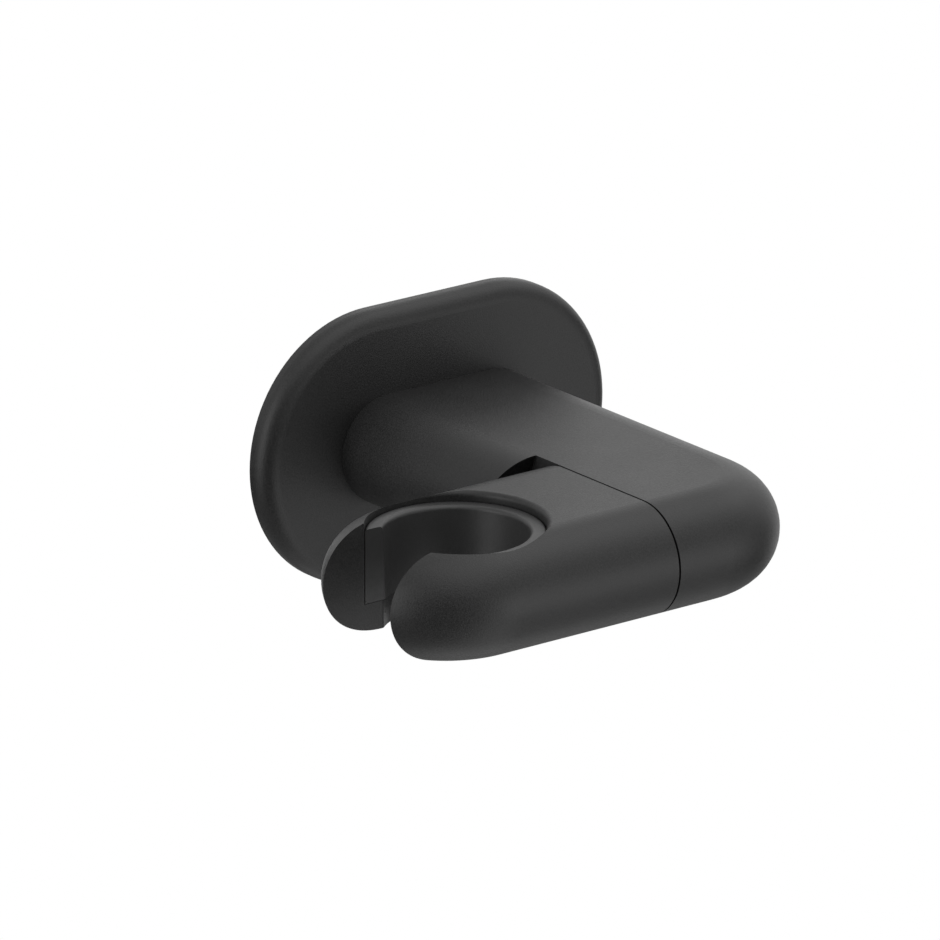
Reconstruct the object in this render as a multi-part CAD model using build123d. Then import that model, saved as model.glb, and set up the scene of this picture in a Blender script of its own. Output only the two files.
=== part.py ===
"""Hand shower holder: a wall plate and arm in one casting, with a cradle that swivels on its side.

Millimetres. The wall is the plane y = 0, the origin is the middle of the plate on the wall,
the arm comes out along -Y, the cradle stands on the -X side and +Z is up.
"""
import os

from build123d import *

# Arm and cradle: a flat form whose edges are fully round
PROFILE_H = 20.0         # height of arm and cradle
ARM_W = 42.5             # width of the arm
CRADLE_D = 42.0          # depth of the cradle, front to back, also its end's diameter
PIVOT_OUT = 65.5         # swivel axis, out from the wall
END_SIDE = 45.3          # middle of the cradle's rounded end, left of the plate's middle
SOCKET_SIDE = 43.1       # socket axis, left of the plate's middle
SEAM_SIDE = 11.45        # middle of the seam between arm and cradle, left of the plate's middle
SEAM_GAP = 0.4           # width of that seam
RELIEF_CLEAR = 0.5       # room behind the turning cradle, in the hollow cut in the arm

# Wall plate: flat, with a broad round edge
PLATE_W = 76.0
PLATE_H = 50.0
PLATE_T = 4.5
SIDE_T = 1.3             # straight side at the wall, below the round edge

# Hollow back, and the bracket that fills it
RIM_W = 5.0              # rim round the recess in the plate's back
FACE_WALL = 2.3          # plate's face, in front of that recess
SIDE_WALL = 3.0          # arm's sides, round its hollow
FLAT_WALL = 3.5          # arm's top and underside
END_WALL = 7.0           # between the arm's hollow and the relief for the cradle
CORE_END_R = 2.5         # rounding of the hollow's far end
BOSS_DEPTH = 14.0        # bracket's boss, out from the wall
BRACKET_CLEAR = 0.2      # bracket to casting, each side
SCREW_SPACING = 22.0     # wall screw holes
SCREW_HOLE_D = 5.2
SCREW_HEAD_D = 10.0      # countersink for the wall screws' heads

# Set screw that locks the casting on its bracket, from below
SET_OUT = 9.0            # out from the wall
SET_D = 4.0
SET_SINK = 0.5           # below the arm's underside
SET_BITE = 1.3           # tip, inside the bracket's boss
SET_CLEAR = 0.05         # thread, radial
SET_KEY = 2.0            # hexagon across flats
SET_KEY_DEPTH = 1.8
SET_TIP_D = 2.4

# Seal in the plate's back rim
SEAL_IN = 1.5            # in from the plate's edge
SEAL_W = 2.0
SEAL_T = 0.8
SEAL_CLEAR = 0.05

# Socket for the hand shower's cone
LINER_TOP_D = 25.2       # conical seat
LINER_FOOT_D = 24.3
LINER_WALL = 2.7         # at the rim
LINER_CLEAR = 0.14       # liner in its bore, radial
LINER_REST = 0.08        # liner's foot above the floor, the bed of glue
LINER_DROP = 1.7         # liner's rim, below the cradle's top
LINER_LIP_R = 0.7        # rounding of the liner's rim, inside
LINER_EDGE_R = 0.4       # and outside
PEG_LEN = 0.9            # liner's peg, in the mouth of the screw's pocket
MOUTH_R = 0.9            # rounding of the bore's mouth, from the flat top down
LEDGE_T = 5.0            # floor under the liner
LEDGE_CLEAR = 0.3        # opening through the floor, outside the seat's foot
SLOT_W = 18.7            # gap for the hose, open to the left
JAW_CORNER_R = 1.2       # rounding where the slot meets the seat

# Swivel: shoulder screw from inside the socket, in a flanged bush, against two disc springs
SHOULDER_D = 6.0
SHOULDER_STEP = 0.5      # from the shoulder in to the thread
THREAD_L = 11.0
THREAD_CHAMFER = 0.5
THREAD_CLEAR = 0.05      # radial, screw in the casting
HOLE_SPARE = 2.0         # tapped hole, past the screw's end
HEAD_STEP = 1.5          # from the shoulder out to the head
HEAD_L = 4.0
HEAD_EDGE_R = 0.4
KEY_AF = 4.0             # hexagon across flats
KEY_DEPTH = 2.2
HEAD_CLEAR = 0.3         # head in its pocket, radial
PACK_CLEAR = 0.2         # bush flange, washer and peg in that pocket, radial
POCKET_DEPTH = 7.0       # from the bore's wall
BUSH_WALL = 1.0
BUSH_FLANGE_T = 1.0
WASHER_T = 0.8           # steel washer under the head
RUN = 0.05               # shoulder in the bush, radial
LOOSE = 0.1              # shoulder in washers and springs, radial
FACE_RUN = 0.02          # between faces that turn on each other
SPRING_D = 12.5
SPRING_T = 0.7
SPRING_L = 0.95          # each disc spring, as pressed together
SPRING_APART = 0.01      # half the room between the two springs
SPRING_CLEAR = 0.2       # springs and friction washer in their pocket, radial
FRICTION_T = 1.0         # friction washer
RING_WALL = 0.6          # between the springs' pocket and the water seal's groove
RING_SECTION = 1.4       # water seal
RING_SIDE = 0.05         # ring to the sides of its groove
RING_RUN = 0.05          # ring to the cradle's face

# Worked out from the sizes above
TOP_Z = PROFILE_H / 2
CRADLE_R = CRADLE_D / 2
RELIEF_R = CRADLE_R + RELIEF_CLEAR
PIVOT_Y = -PIVOT_OUT
END_X = -END_SIDE
SOCKET_X = -SOCKET_SIDE
CORNER_X = ARM_W / 2 - CRADLE_R
SEAM_ARM_X = -SEAM_SIDE + SEAM_GAP / 2
SEAM_CRADLE_X = -SEAM_SIDE - SEAM_GAP / 2
PLATE_EDGE_R = PLATE_T - SIDE_T
RECESS_W = PLATE_W - 2 * RIM_W
RECESS_H = PLATE_H - 2 * RIM_W
RECESS_T = PLATE_T - FACE_WALL
CORE_W = ARM_W - 2 * SIDE_WALL
CORE_H = PROFILE_H - 2 * FLAT_WALL
CORE_DEPTH = PIVOT_OUT - RELIEF_R - END_WALL
LINER_R = LINER_TOP_D / 2 + LINER_WALL
BORE_R = LINER_R + LINER_CLEAR
LEDGE_R = LINER_FOOT_D / 2 + LEDGE_CLEAR
LEDGE_Z = -TOP_Z + LEDGE_T
FOOT_Z = LEDGE_Z + LINER_REST
THREAD_D = SHOULDER_D - 2 * SHOULDER_STEP
HEAD_D = SHOULDER_D + 2 * HEAD_STEP
POCKET_D = HEAD_D + 2 * HEAD_CLEAR
PACK_D = POCKET_D - 2 * PACK_CLEAR
BORE_WALL_X = SOCKET_X + BORE_R
POCKET_X = BORE_WALL_X + POCKET_DEPTH
UNDER_HEAD_X = POCKET_X - BUSH_FLANGE_T - WASHER_T - FACE_RUN
SPRING_PACK = 2 * (SPRING_L + SPRING_APART) + FRICTION_T
SPRING_FLOOR_X = SEAM_CRADLE_X + FACE_RUN + SPRING_PACK
SPRING_POCKET_R = SPRING_D / 2 + SPRING_CLEAR
GROOVE_W = RING_SECTION + 2 * RING_SIDE
GROOVE_R = SPRING_POCKET_R + RING_WALL
RING_MEAN_R = GROOVE_R + GROOVE_W / 2
RING_FLOOR_X = SEAM_CRADLE_X + RING_RUN + RING_SECTION
SWIVEL = Axis((0, PIVOT_Y, 0), (1, 0, 0))
SOCKET = Axis((SOCKET_X, PIVOT_Y, 0), (0, 0, 1))
SOCKET_SECTION = Plane((SOCKET_X, PIVOT_Y, 0), x_dir=(1, 0, 0), z_dir=(0, -1, 0))
OVER = 5.0               # how far a cutting tool runs past the face it opens
TOUCH = 0.001            # two sizes closer than this are the same


def wall_slot(width, height, depth):
    """A stadium against the wall, standing out from it by depth."""
    return extrude(Plane.XZ * SlotOverall(width, height), amount=depth)


def swivel_rod(radius, x_from, x_to):
    """A round rod on the swivel axis."""
    middle = Pos((x_from + x_to) / 2, PIVOT_Y, 0)
    return middle * Rot(0, 90, 0) * Cylinder(radius, abs(x_to - x_from))


def swivel_ring(outer_d, inner_d, x_from, x_to):
    """A flat ring on the swivel axis."""
    return swivel_rod(outer_d / 2, x_from, x_to) - swivel_rod(inner_d / 2, x_from - OVER, x_to + OVER)


def socket_rod(radius, z_from, z_to):
    """A round rod on the socket's axis."""
    return Pos(SOCKET_X, PIVOT_Y, (z_from + z_to) / 2) * Cylinder(radius, z_to - z_from)


def hexagon(across_flats):
    return RegularPolygon(across_flats / 2, 6, major_radius=False)


def round_bar(x_from, x_to):
    """A straight run of the cradle's section, flat above and below with round edges."""
    section = Plane.YZ.offset(x_from) * Pos(PIVOT_Y, 0) * SlotOverall(CRADLE_D, PROFILE_H)
    return extrude(section, amount=x_to - x_from)


def round_end(x):
    """The same section turned about an upright axis, as a rounded end or corner."""
    half = Pos(CRADLE_R / 2, 0) * Rectangle(CRADLE_R, PROFILE_H)
    section = SlotOverall(CRADLE_D, PROFILE_H) & half
    upright = Plane((x, PIVOT_Y, 0), x_dir=(1, 0, 0), z_dir=(0, -1, 0))
    return revolve(upright * section, Axis((x, PIVOT_Y, 0), (0, 0, 1)), 360)


def stadium_edges(shape, height, depth):
    """The edges of a stadium of this height that lies at this distance from the wall."""
    level = shape.edges().filter_by_position(Axis.Y, -depth - TOUCH, -depth + TOUCH)
    arcs = level.filter_by(GeomType.CIRCLE).filter_by(lambda e: abs(e.radius - height / 2) < TOUCH)
    lines = level.filter_by(GeomType.LINE).filter_by(lambda e: abs(abs(e.center().Z) - height / 2) < TOUCH)
    return arcs + lines


def make_wall_body():
    """Plate, arm and the arm's head as one casting, hollow from the wall side."""
    plate = wall_slot(PLATE_W, PLATE_H, PLATE_T)
    plate = fillet(stadium_edges(plate, PLATE_H, PLATE_T), PLATE_EDGE_R)

    arm = wall_slot(ARM_W, PROFILE_H, PIVOT_OUT)
    head = round_bar(SEAM_ARM_X, CORNER_X) + round_end(CORNER_X)
    relief = swivel_rod(RELIEF_R, -ARM_W, SEAM_ARM_X)
    body = plate + (arm + head - relief)

    core = wall_slot(CORE_W, CORE_H, CORE_DEPTH)
    core = fillet(stadium_edges(core, CORE_H, CORE_DEPTH), CORE_END_R)
    body = body - core - wall_slot(RECESS_W, RECESS_H, RECESS_T)
    body = body - seal_ring(SEAL_IN, SEAL_W, SEAL_T)
    body = body - Pos(0, -SET_OUT, -TOP_Z / 2) * Cylinder(SET_D / 2 + SET_CLEAR, TOP_Z)

    spring_pocket = swivel_rod(SPRING_POCKET_R, SEAM_ARM_X - OVER, SPRING_FLOOR_X)
    tapped_end_x = SPRING_FLOOR_X + THREAD_L + HOLE_SPARE
    tapped_hole = swivel_rod(THREAD_D / 2 + THREAD_CLEAR, SEAM_ARM_X, tapped_end_x)
    groove = swivel_ring(2 * (GROOVE_R + GROOVE_W), 2 * GROOVE_R, SEAM_ARM_X - OVER, RING_FLOOR_X)
    return body - spring_pocket - tapped_hole - groove


def seal_ring(inset, width, depth):
    """A stadium ring against the wall, this far in from the plate's edge."""
    outer = wall_slot(PLATE_W - 2 * inset, PLATE_H - 2 * inset, depth)
    inner_inset = inset + width
    return outer - wall_slot(PLATE_W - 2 * inner_inset, PLATE_H - 2 * inner_inset, depth)


def make_wall_seal():
    return seal_ring(SEAL_IN + SEAL_CLEAR, SEAL_W - 2 * SEAL_CLEAR, SEAL_T)


def make_wall_bracket():
    """Flange and boss that are screwed to the wall, with a dimple for the set screw's tip."""
    spare = 2 * BRACKET_CLEAR
    flange = wall_slot(RECESS_W - spare, RECESS_H - spare, RECESS_T - BRACKET_CLEAR)
    boss = wall_slot(CORE_W - spare, CORE_H - spare, BOSS_DEPTH)
    bracket = flange + boss
    head_depth = (SCREW_HEAD_D - SCREW_HOLE_D) / 2
    for x in (-SCREW_SPACING / 2, SCREW_SPACING / 2):
        hole = extrude(Plane.XZ * Pos(x, 0) * Circle(SCREW_HOLE_D / 2), amount=BOSS_DEPTH)
        sink = Pos(x, -BOSS_DEPTH + head_depth / 2, 0) * Rot(90, 0, 0)
        bracket = bracket - hole - sink * Cone(SCREW_HOLE_D / 2, SCREW_HEAD_D / 2, head_depth)
    boss_z = -CORE_H / 2 + BRACKET_CLEAR
    dimple_r = SET_D / 2 + SET_CLEAR
    dimple = Pos(0, -SET_OUT, boss_z) * Cylinder(dimple_r, 2 * (SET_BITE + BRACKET_CLEAR))
    return bracket - dimple


def make_set_screw():
    """Headless screw with a hexagon socket and a coned tip, upright under the arm."""
    foot_z = -TOP_Z + SET_SINK
    tip_z = -CORE_H / 2 + BRACKET_CLEAR + SET_BITE
    cone = (SET_D - SET_TIP_D) / 2
    place = Pos(0, -SET_OUT, 0)
    screw = place * Pos(0, 0, (foot_z + tip_z) / 2) * Cylinder(SET_D / 2, tip_z - foot_z)
    tip = screw.faces().sort_by(Axis.Z)[-1]
    screw = chamfer(tip.edges(), cone)
    key = extrude(place * Pos(0, 0, foot_z) * hexagon(SET_KEY), amount=SET_KEY_DEPTH)
    return screw - key


def keyhole(radius):
    """The socket's opening right through: a round hole with the hose slot let into its left side."""
    length = END_SIDE - SOCKET_SIDE + CRADLE_R + OVER
    plan = Circle(radius) + Pos(-length / 2, 0) * Rectangle(length, SLOT_W)
    corners = plan.vertices().filter_by(lambda v: v.X > -radius)
    plan = fillet(corners, JAW_CORNER_R)
    return Pos(SOCKET_X, PIVOT_Y, -TOP_Z - OVER) * extrude(plan, amount=PROFILE_H + 2 * OVER)


def liner_bore():
    """The liner's bore as a cutting tool, its mouth flared just under the cradle's flat top."""
    flare_z = TOP_Z - MOUTH_R
    mouth_r = BORE_R + MOUTH_R
    past_z = TOP_Z + OVER
    wall = Polyline((0, past_z), (0, LEDGE_Z), (BORE_R, LEDGE_Z), (BORE_R, flare_z))
    flare = CenterArc((mouth_r, flare_z), MOUTH_R, 180, -90)
    mouth = Polyline((mouth_r, TOP_Z), (mouth_r, past_z), (0, past_z))
    return revolve(SOCKET_SECTION * make_face(wall + flare + mouth), SOCKET, 360)


def make_cradle():
    """Forked cradle: a bar with a rounded end, bored for the liner and slotted for the hose."""
    cradle = round_bar(END_X, SEAM_CRADLE_X) + round_end(END_X)
    cradle = cradle - liner_bore() - keyhole(LEDGE_R)
    cradle = cradle - swivel_rod(POCKET_D / 2, SOCKET_X, POCKET_X)
    return cradle - swivel_rod(SHOULDER_D / 2 + RUN + BUSH_WALL, SOCKET_X, SEAM_CRADLE_X + OVER)


def make_socket_liner():
    """Open plastic ring with a conical seat, its ends flush with the slot."""
    rim_z = TOP_Z - LINER_DROP
    foot_r = LINER_FOOT_D / 2
    rim_r = LINER_TOP_D / 2
    outline = Polyline((foot_r, FOOT_Z), (LINER_R, FOOT_Z), (LINER_R, rim_z), (rim_r, rim_z), close=True)
    section = make_face(outline)
    section = fillet(section.vertices().group_by(Axis.Y)[-1].sort_by(Axis.X)[-1], LINER_EDGE_R)
    section = fillet(section.vertices().group_by(Axis.Y)[-1].sort_by(Axis.X)[0], LINER_LIP_R)
    liner = revolve(SOCKET_SECTION * section, SOCKET, 360) - keyhole(foot_r - TOUCH)
    peg = swivel_rod(PACK_D / 2, SOCKET_X, BORE_WALL_X + PEG_LEN)
    return liner + (peg - socket_rod(LINER_R - LINER_WALL / 2, -PROFILE_H, PROFILE_H))


def make_pivot_screw():
    """Shoulder screw: the shoulder stops on the casting, so the cradle stays free to turn."""
    head_x = UNDER_HEAD_X - HEAD_L
    head = swivel_rod(HEAD_D / 2, head_x, UNDER_HEAD_X)
    head = fillet(head.edges().sort_by(Axis.X)[0], HEAD_EDGE_R)
    key = extrude(Plane.YZ.offset(head_x) * Pos(PIVOT_Y, 0) * hexagon(KEY_AF), amount=KEY_DEPTH)
    shoulder = swivel_rod(SHOULDER_D / 2, UNDER_HEAD_X, SPRING_FLOOR_X)
    thread = swivel_rod(THREAD_D / 2, SPRING_FLOOR_X, SPRING_FLOOR_X + THREAD_L)
    thread = chamfer(thread.edges().sort_by(Axis.X)[-1], THREAD_CHAMFER)
    return head - key + shoulder + thread


def make_pivot_bush():
    bore_d = SHOULDER_D + 2 * RUN
    flange = swivel_ring(PACK_D, bore_d, POCKET_X - BUSH_FLANGE_T, POCKET_X)
    return flange + swivel_ring(bore_d + 2 * BUSH_WALL, bore_d, POCKET_X, SEAM_CRADLE_X)


def make_thrust_washer():
    back_x = POCKET_X - BUSH_FLANGE_T
    return swivel_ring(PACK_D, SHOULDER_D + 2 * LOOSE, back_x - WASHER_T, back_x)


def make_disc_springs():
    """Two shallow cones, set rim to rim behind the friction washer."""
    middle_x = SPRING_FLOOR_X - SPRING_L - SPRING_APART
    rise = SPRING_L - SPRING_T
    inner_r = SHOULDER_D / 2 + LOOSE
    outer_r = SPRING_D / 2
    springs = []
    for side in (-1, 1):
        rim_x = middle_x + side * SPRING_APART
        points = [(rim_x, outer_r), (rim_x + side * SPRING_T, outer_r)]
        points += [(rim_x + side * (SPRING_T + rise), inner_r), (rim_x + side * rise, inner_r)]
        section = make_face(Polyline(*points, close=True))
        springs.append(revolve(Plane((0, PIVOT_Y, 0)) * section, SWIVEL, 360))
    return Compound(children=springs)


def make_friction_washer():
    face_x = SEAM_CRADLE_X + FACE_RUN
    return swivel_ring(SPRING_D, SHOULDER_D + 2 * LOOSE, face_x, face_x + FRICTION_T)


def make_joint_ring():
    """Rubber ring that keeps water out of the springs."""
    middle = Pos(RING_FLOOR_X - RING_SECTION / 2, PIVOT_Y, 0)
    return middle * Rot(0, 90, 0) * Torus(RING_MEAN_R, RING_SECTION / 2)


PIECES = {
    "wall_body": make_wall_body,
    "wall_bracket": make_wall_bracket,
    "wall_seal": make_wall_seal,
    "set_screw": make_set_screw,
    "cradle": make_cradle,
    "socket_liner": make_socket_liner,
    "pivot_screw": make_pivot_screw,
    "pivot_bush": make_pivot_bush,
    "thrust_washer": make_thrust_washer,
    "disc_springs": make_disc_springs,
    "friction_washer": make_friction_washer,
    "joint_ring": make_joint_ring,
}

os.makedirs("parts", exist_ok=True)
for name, make in PIECES.items():
    export_step(make(), f"parts/{name}.step")
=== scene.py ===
# %% [markdown]
# # A hand shower holder in satin black
# The real thing is a small casting on a bathroom wall: a plate, an arm, and a forked cradle that
# swivels on the arm's side. Its shapes are machined and cast, so they come from the CAD model as
# they are. What Blender adds is the thread on two screws and everything that the eye reads as
# material: the coat's fine grain, the plastic of the liner, the turned and rolled steel inside,
# and the light that falls on them.

# %% Load the frame
import math

import bpy
from mathutils import Matrix, Vector


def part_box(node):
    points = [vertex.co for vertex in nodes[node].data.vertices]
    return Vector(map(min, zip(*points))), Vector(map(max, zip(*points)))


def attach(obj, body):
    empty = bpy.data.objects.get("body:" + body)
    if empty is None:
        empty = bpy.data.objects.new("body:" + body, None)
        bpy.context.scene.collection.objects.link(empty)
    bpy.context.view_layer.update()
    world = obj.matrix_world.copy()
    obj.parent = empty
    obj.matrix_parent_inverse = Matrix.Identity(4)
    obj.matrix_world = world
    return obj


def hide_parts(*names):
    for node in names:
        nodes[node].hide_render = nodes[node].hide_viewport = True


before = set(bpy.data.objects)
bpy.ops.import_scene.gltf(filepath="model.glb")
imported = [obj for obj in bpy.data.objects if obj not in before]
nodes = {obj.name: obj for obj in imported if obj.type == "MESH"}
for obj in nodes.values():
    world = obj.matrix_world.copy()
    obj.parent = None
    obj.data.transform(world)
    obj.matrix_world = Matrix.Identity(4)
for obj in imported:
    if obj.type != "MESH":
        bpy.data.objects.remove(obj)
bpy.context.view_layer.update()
bpy.ops.object.select_all(action="DESELECT")
print("CAD nodes:", ", ".join(sorted(nodes)))

# %% [markdown]
# ## The camera
# A product portrait is taken from far away with a long lens, so that parallel edges stay nearly
# parallel. The camera stands 1.93 m off, to the left of the holder and above it. It could be aimed
# with a Track To constraint, but its three axes are worked out here, because that also keeps the
# picture free of roll when the aim is a little beside the plate's middle.

# %% Camera
PICTURE = 940                      # pixels each way
FOCAL_PIXELS = 11000
STAND_OFF = 1.930                  # metres from the plate's middle
AZIMUTH, ELEVATION = math.radians(-37.31), math.radians(18.59)
AIM_RIGHT, AIM_DOWN = 46.2, 40.9   # pixels from the plate's middle to the picture's middle
SENSOR = 36                        # millimetres
FARTHEST = 50                      # metres that the camera sees

flat = math.cos(ELEVATION)
back = Vector((math.sin(AZIMUTH) * flat, -math.cos(AZIMUTH) * flat, math.sin(ELEVATION)))
right = Vector((math.cos(AZIMUTH), math.sin(AZIMUTH), 0))
up = back.cross(right)
look_back = (back - right * AIM_RIGHT / FOCAL_PIXELS + up * AIM_DOWN / FOCAL_PIXELS).normalized()
side = (right - look_back * right.dot(look_back)).normalized()
stand = Matrix((side, look_back.cross(side), look_back)).transposed().to_4x4()
stand.translation = back * STAND_OFF

bpy.ops.object.camera_add()
camera = bpy.context.object
camera.name = "portrait_camera"
camera.matrix_world = stand
camera.data.sensor_width = SENSOR
camera.data.lens = SENSOR * FOCAL_PIXELS / PICTURE
camera.data.clip_end = FARTHEST
bpy.context.scene.camera = camera
print(f"lens {camera.data.lens:.0f} mm at {stand.translation.length:.2f} m")

# %% [markdown]
# ## Shader maths that reads like maths
# A material is a graph of nodes. Wiring it by hand takes four lines for each sum, so a small class
# wraps a socket: adding or multiplying two of them lays down the Math node. Every other kind of
# node comes from one method of the finish that is being made.

# %% Helpers for materials
class Wire:
    """An output socket that takes part in sums."""

    def __init__(self, finish, socket):
        self.finish, self.socket = finish, socket

    def maths(self, operation, first, second):
        return self.finish.node("Math", {"operation": operation}, {0: first, 1: second})

    def __add__(self, other):
        return self.maths("ADD", self, other)

    def __sub__(self, other):
        return self.maths("SUBTRACT", self, other)

    def __rsub__(self, other):
        return self.maths("SUBTRACT", other, self)

    def __mul__(self, other):
        return self.maths("MULTIPLY", self, other)

    __radd__, __rmul__ = __add__, __mul__


class Finish:
    """A material, its Principled shader and the nodes that feed it."""

    def __init__(self, name, **constants):
        self.material = bpy.data.materials.new(name)
        self.material.use_nodes = True
        self.tree = self.material.node_tree
        self.shader = self.tree.nodes["Principled BSDF"]
        for socket, value in constants.items():
            self.shader.inputs[socket.replace("_", " ")].default_value = value
        self.place = self.node("TexCoord", output="Object")

    def plug(self, socket, value):
        """Links a wire to a socket, or sets the socket's own value."""
        if isinstance(value, Wire):
            self.tree.links.new(value.socket, socket)
        else:
            socket.default_value = value

    def node(self, kind, settings=None, sockets=None, output=0):
        made = self.tree.nodes.new("ShaderNode" + kind)
        for name, value in (settings or {}).items():
            setattr(made, name, value)
        for name, value in (sockets or {}).items():
            self.plug(made.inputs[name], value)
        return Wire(self, made.outputs[output])

    def noise(self, size, detail=2.0, roughness=0.5):
        """Soft noise from 0 to 1 whose lumps are about this many metres across."""
        return self.node("TexNoise", None, {"Vector": self.place, "Scale": 1 / size,
                                            "Detail": detail, "Roughness": roughness})

    def blend(self, first, second, share):
        """A colour between two others, from the Mix node's sockets for colours."""
        return self.node("Mix", {"data_type": "RGBA"}, {6: first, 7: second, 0: share}, output=2)

    def feed(self, socket, value):
        self.plug(self.shader.inputs[socket], value)

    def bumps(self, height, depth):
        """Raises the surface by a height from 0 to 1, which stands for this many metres."""
        self.feed("Normal", self.node("Bump", None, {"Height": height, "Distance": depth,
                                                     "Strength": 1.0}))


def grey(level):
    return (level, level, level, 1.0)


print("helpers ready")

# %% [markdown]
# ## The satin black coat
# The casting is sprayed with black powder and baked. The powder flows out into a skin that is
# nearly black, softly glossy, and very slightly pebbled: a fine grain of a quarter of a millimetre
# on broader waves of about a millimetre. Both are noise on the object's own coordinates, so they
# keep their size on every face. The grain also varies the colour and the gloss, which gives the
# faint speckle that a sprayed coat has.

# %% Satin black coat
coat = Finish("satin_black_coat", Specular_IOR_Level=0.24)
grain = coat.noise(0.00028, detail=3.0)
waves = coat.noise(0.0013, detail=1.0)
patches = coat.noise(0.012, detail=3.0)
coat.feed("Base Color", coat.blend(grey(0.001), grey(0.031), 0.2 * patches + 0.8 * grain))
coat.feed("Roughness", 0.26 + 0.07 * patches + 0.29 * grain)
coat.bumps(0.85 * grain + 0.15 * waves, 0.000045)
print("coat:", coat.material.name)

# %% [markdown]
# ## The liner's plastic
# The ring in the socket is moulded in black plastic with a fine spark-eroded texture, a touch paler
# than the coat. Rubbing by the hand shower's cone polishes it a little, in broad soft patches.

# %% Black plastic
plastic = Finish("black_plastic_liner", Specular_IOR_Level=0.33)
spark = plastic.noise(0.00018, detail=4.0, roughness=0.6)
rubbed = plastic.noise(0.006, detail=2.0)
plastic.feed("Base Color", plastic.blend(grey(0.006), grey(0.036), 0.7 * spark + 0.3 * rubbed))
plastic.feed("Roughness", 0.46 - 0.08 * rubbed + 0.05 * spark)
plastic.bumps(spark, 0.000020)
print("plastic:", plastic.material.name)

# %% [markdown]
# ## The steel inside
# The bracket is rolled plate, the screw and the washer are turned. Bright steel is grey with fine
# lines, which come from noise that a Mapping node draws out along one direction or two.

# %% Bright and dark steel
LINES_PER_METRE = 4000.0


def steel(name, dark, light, roughness, stretch):
    """Metal with fine lines: the smaller an axis's stretch, the longer the lines along it."""
    made = Finish(name, Metallic=1.0)
    drawn = made.node("Mapping", None, {"Vector": made.place, "Scale": stretch})
    lines = made.node("TexNoise", None, {"Vector": drawn, "Scale": LINES_PER_METRE, "Detail": 2.0})
    stain = made.noise(0.008, detail=3.0)
    made.feed("Base Color", made.blend(dark, light, 0.6 * lines + 0.4 * stain))
    made.feed("Roughness", roughness + 0.12 * lines + 0.08 * stain)
    made.bumps(lines, 0.000002)
    return made


rolled_steel = steel("rolled_steel", grey(0.42), grey(0.58), 0.28, (0.05, 1, 1))
turned_steel = steel("turned_steel", grey(0.46), grey(0.62), 0.22, (1, 0.12, 0.12))
black_steel = steel("blackened_steel", grey(0.045), grey(0.085), 0.34, (1, 0.12, 0.12))
print("steels:", rolled_steel.material.name, turned_steel.material.name, black_steel.material.name)

# %% [markdown]
# ## Acetal and rubber
# The bush and the friction washer are white acetal, waxy and slightly see-through in life. A warm
# white with faint clouds stands for it. The seals are black rubber: dull, with a bloom of paler
# dust.

# %% White acetal and black rubber
acetal = Finish("waxy_acetal", Specular_IOR_Level=0.45)
clouds = acetal.noise(0.003, detail=3.0)
acetal.feed("Base Color", acetal.blend((0.68, 0.66, 0.61, 1), (0.76, 0.75, 0.71, 1), clouds))
acetal.feed("Roughness", 0.38 + 0.12 * clouds)
acetal.bumps(acetal.noise(0.0003), 0.000004)

rubber = Finish("dusty_rubber", Specular_IOR_Level=0.3)
bloom = rubber.noise(0.002, detail=4.0)
rubber.feed("Base Color", rubber.blend(grey(0.012), grey(0.03), bloom))
rubber.feed("Roughness", 0.72 + 0.15 * bloom)
rubber.bumps(rubber.noise(0.00025, detail=3.0), 0.000012)
print("acetal and rubber ready")

# %% [markdown]
# ## Dressing the CAD pieces
# Each CAD node keeps its mesh and place and only gets its finish. The two screws hand theirs on to
# the threaded copies that are made of them further on.

# %% Dress the nodes
dress = {
    coat: ["wall_body", "cradle"],
    plastic: ["socket_liner"],
    rolled_steel: ["wall_bracket"],
    turned_steel: ["pivot_screw", "thrust_washer"],
    black_steel: ["set_screw", "disc_springs"],
    acetal: ["pivot_bush", "friction_washer"],
    rubber: ["wall_seal", "joint_ring"],
}
for finish, names in dress.items():
    for name in names:
        nodes[name].data.materials.clear()
        nodes[name].data.materials.append(finish.material)
    print(finish.material.name, "on", ", ".join(names))

# %% [markdown]
# ## Screw threads
# The CAD screws are plain rods at the thread's outer size. A rolled thread is a helix, which would
# be heavy in a CAD file but is light work here. A circle of three vertices is a triangle with
# corners of 60 degrees, just like the groove of a metric thread. A Screw modifier winds it up, and
# a Boolean modifier cuts it from a copy of the screw. The thread could also be a bump in the
# material, but then the screw's outline would stay smooth.

# %% A cutter for threads
SHARP = 0.758          # depth of the groove, in pitches
PROUD = 0.1            # how far the cutter stands out of the rod, in pitches
STEPS_A_TURN = 40


def groove(diameter, pitch, length):
    """The groove of a right-hand thread, wound up along +Z from the origin."""
    reach = (SHARP + PROUD) * pitch * 2 / 3
    bpy.ops.mesh.primitive_circle_add(vertices=3, radius=reach, fill_type="NOTHING",
                                      location=(diameter / 2 - SHARP * pitch + reach, 0, 0),
                                      rotation=(math.pi / 2, -math.pi / 2, 0))
    bpy.ops.object.transform_apply()
    cutter = bpy.context.object
    bpy.ops.object.modifier_add(type="SCREW")
    winding = cutter.modifiers[-1]
    winding.screw_offset = pitch
    winding.iterations = round(length / pitch)
    winding.steps = winding.render_steps = STEPS_A_TURN
    winding.use_merge_vertices = False
    bpy.ops.object.modifier_apply(modifier=winding.name)
    bpy.ops.object.mode_set(mode="EDIT")
    bpy.ops.mesh.select_all(action="SELECT")
    bpy.ops.mesh.fill_holes(sides=3)
    bpy.ops.mesh.normals_make_consistent(inside=False)
    bpy.ops.object.mode_set(mode="OBJECT")
    return cutter


print("cutter ready")

# %% [markdown]
# ## The threaded screws
# The shoulder screw has an M5 thread along the 11 mm at its end, the set screw an M4 thread from
# end to end. A CAD mesh comes as loose triangles with normals of its own. Before the cut, the
# copy's normals are cleared and its doubles merged, and after it the faces are smoothed again,
# except across the thread's crests and corners.

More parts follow.
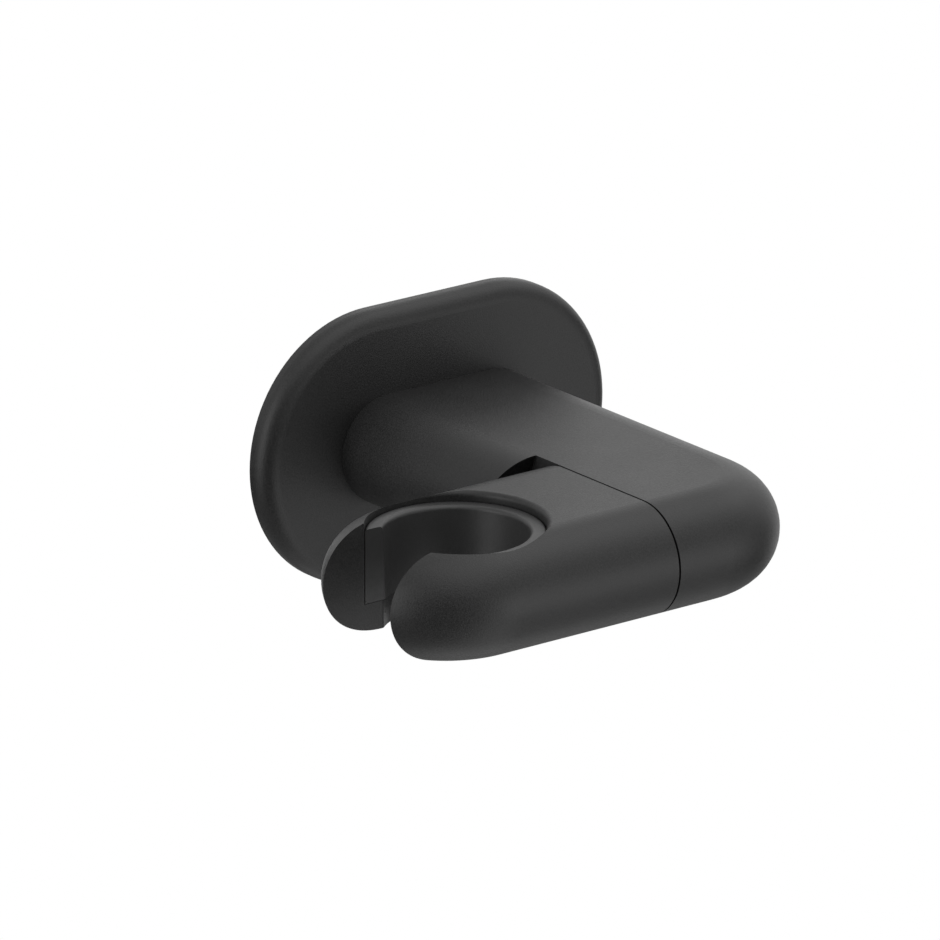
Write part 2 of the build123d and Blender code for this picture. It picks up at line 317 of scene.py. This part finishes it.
# %% Cut the threads
SAME_PLACE = 1e-6                  # vertices nearer than this, in metres, become one
SMOOTH_BELOW = math.radians(35)    # edges with a smaller angle are smoothed


def threaded(name, node, cutter):
    """A copy of a CAD screw with its thread cut, which stands for that screw from here on."""
    screw = bpy.data.objects.new(name, nodes[node].data.copy())
    bpy.context.collection.objects.link(screw)
    bpy.ops.object.select_all(action="DESELECT")
    screw.select_set(True)
    bpy.context.view_layer.objects.active = screw
    bpy.ops.mesh.customdata_custom_splitnormals_clear()
    bpy.ops.object.mode_set(mode="EDIT")
    bpy.ops.mesh.select_all(action="SELECT")
    bpy.ops.mesh.remove_doubles(threshold=SAME_PLACE)
    bpy.ops.object.mode_set(mode="OBJECT")
    bpy.ops.object.modifier_add(type="BOOLEAN")
    cut = screw.modifiers[-1]
    cut.operation, cut.solver, cut.object = "DIFFERENCE", "EXACT", cutter
    bpy.ops.object.modifier_apply(modifier=cut.name)
    bpy.data.objects.remove(cutter)
    bpy.ops.object.shade_smooth_by_angle(angle=SMOOTH_BELOW)
    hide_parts(node)
    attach(screw, "wall_mount")
    print(f"{name}: {len(screw.data.polygons)} faces")
    return screw


THREAD_D, THREAD_PITCH, THREAD_L = 0.005, 0.0008, 0.011     # metres, M5
low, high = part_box("pivot_screw")
winding_groove = groove(THREAD_D, THREAD_PITCH, THREAD_L)
winding_groove.rotation_euler = (0, math.pi / 2, 0)
winding_groove.location = (high.x - THREAD_L + THREAD_PITCH, (low.y + high.y) / 2,
                           (low.z + high.z) / 2)
threaded("threaded_shoulder_screw", "pivot_screw", winding_groove)

SET_PITCH = 0.0007     # metres, M4
low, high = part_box("set_screw")
winding_groove = groove(high.x - low.x, SET_PITCH, high.z - low.z + 2 * SET_PITCH)
winding_groove.location = ((low.x + high.x) / 2, (low.y + high.y) / 2, low.z - SET_PITCH)
threaded("threaded_set_screw", "set_screw", winding_groove)

# %% [markdown]
# ## The studio
# The holder hangs as high as on a bathroom wall, with a pale floor 1.6 m below it. The surroundings
# are plain white where the camera or a reflection looks at them. As light they are a softer grey,
# which leaves the shaping to the lamps. A Light Path node tells the kinds of ray apart: the largest
# of its three answers picks the white.

# %% Floor and surroundings
FLOOR_RADIUS, FLOOR_BELOW = 3.2, 1.6     # metres
WORLD_LIGHT, WORLD_SEEN = 0.54, 1.0      # strengths, where 1 is white

bpy.ops.mesh.primitive_circle_add(vertices=96, radius=FLOOR_RADIUS, fill_type="NGON",
                                  location=(0, 0, -FLOOR_BELOW))
floor = bpy.context.object
floor.name = "studio_floor"
pale = Finish("pale_floor", Roughness=0.8, Specular_IOR_Level=0.2)
pale.feed("Base Color", pale.blend(grey(0.55), grey(0.60), pale.noise(0.5)))
floor.data.materials.append(pale.material)

world = bpy.data.worlds.new("studio")
bpy.context.scene.world = world
world.use_nodes = True
tree = world.node_tree
light = tree.nodes["Background"]
white = tree.nodes.new("ShaderNodeBackground")
for background, strength in (light, WORLD_LIGHT), (white, WORLD_SEEN):
    background.inputs["Color"].default_value = grey(1.0)
    background.inputs["Strength"].default_value = strength
path = tree.nodes.new("ShaderNodeLightPath")
mirrored = tree.nodes.new("ShaderNodeMath")
seen = tree.nodes.new("ShaderNodeMath")
mirrored.operation = seen.operation = "MAXIMUM"
choice = tree.nodes.new("ShaderNodeMixShader")
tree.links.new(path.outputs["Is Glossy Ray"], mirrored.inputs[0])
tree.links.new(path.outputs["Is Transmission Ray"], mirrored.inputs[1])
tree.links.new(path.outputs["Is Camera Ray"], seen.inputs[0])
tree.links.new(mirrored.outputs[0], seen.inputs[1])
tree.links.new(seen.outputs[0], choice.inputs["Fac"])
tree.links.new(light.outputs[0], choice.inputs[1])
tree.links.new(white.outputs[0], choice.inputs[2])
tree.links.new(choice.outputs[0], tree.nodes["World Output"].inputs["Surface"])
print("floor", floor.name, "and world", world.name)

# %% [markdown]
# ## Softboxes
# Seven soft lamps shape the black coat. The one overhead and the two on the right and at the back
# brighten the flat tops. The tall one on the left draws the light edge of the plate and the streak
# in the socket. A small one close by lifts the front more than the plate behind it. Of the two from
# below, one fills the lower half of the front and the other draws the light edge along the
# underside, with a darker line between the two. Each is given by its direction in degrees, its size
# in metres and its radiance, where 1 is white.

# %% Lamps
def toward(azimuth, elevation, distance):
    """A place in this direction, and the turn that faces it to the holder."""
    turn, tilt = math.radians(azimuth), math.radians(elevation)
    spot = Vector((math.sin(turn) * math.cos(tilt), -math.cos(turn) * math.cos(tilt),
                   math.sin(tilt)))
    return spot * distance, spot.to_track_quat("Z", "Y").to_euler()


def softbox(name, azimuth, elevation, width, height, radiance, distance=1.5):
    spot, turn = toward(azimuth, elevation, distance)
    bpy.ops.object.light_add(type="AREA", location=spot, rotation=turn)
    lamp = bpy.context.object
    lamp.name = name
    lamp.visible_camera = False
    lamp.data.shape = "RECTANGLE"
    lamp.data.size, lamp.data.size_y = width, height
    lamp.data.energy = radiance * math.pi * width * height
    print(f"{name}: {lamp.data.energy:.1f} W")


softbox("overhead_softbox", 10, 70, 1.5, 1.5, 1.42)
softbox("left_softbox", -90, 10, 0.9, 1.4, 2.8)
softbox("right_softbox", 90, 48, 1.0, 1.0, 1.25)
softbox("back_softbox", 140, 15, 0.9, 0.9, 0.44)
softbox("front_softbox", 22, -5, 0.32, 0.32, 2.3, distance=0.6)
softbox("low_softbox", 14, -42, 0.8, 0.8, 1.6, distance=1.2)
softbox("floor_softbox", 70, -78, 0.9, 0.9, 1.0, distance=1.2)

# %% [markdown]
# ## Black boards
# A rounded black thing in a white room would mirror white everywhere and look flat. So a
# photographer hangs up black cloth: the coat turns dark where it mirrors the cloth, and the
# roundings show. The large board hangs behind the camera. The one on the right darkens the arm's
# head where it turns away, and the one at the back darkens the thin outer edge of the plate.

# %% Boards
cloth = Finish("black_cloth", Roughness=1.0, Specular_IOR_Level=0.0)
cloth.feed("Base Color", cloth.blend(grey(0.015), grey(0.025), cloth.noise(0.004)))


def board(name, azimuth, elevation, width, height, distance=2.6):
    spot, turn = toward(azimuth, elevation, distance)
    bpy.ops.mesh.primitive_plane_add(size=1, location=spot, rotation=turn)
    made = bpy.context.object
    made.name = name
    made.scale = (width, height, 1)
    made.visible_camera = False
    made.data.materials.append(cloth.material)
    print(name, "hung up")


board("camera_board", -45, 0, 3.2, 2.8)
board("right_board", 79, -14, 1.2, 2.1)
board("back_board", -162, -17, 3.0, 1.5)

# %% [markdown]
# ## The view transform
# The scene's colours are shown with the Standard view transform. The dressed holder has to
# stay inside the CAD model's box.

# %% Standard view transform
bpy.context.scene.view_settings.view_transform = "Standard"
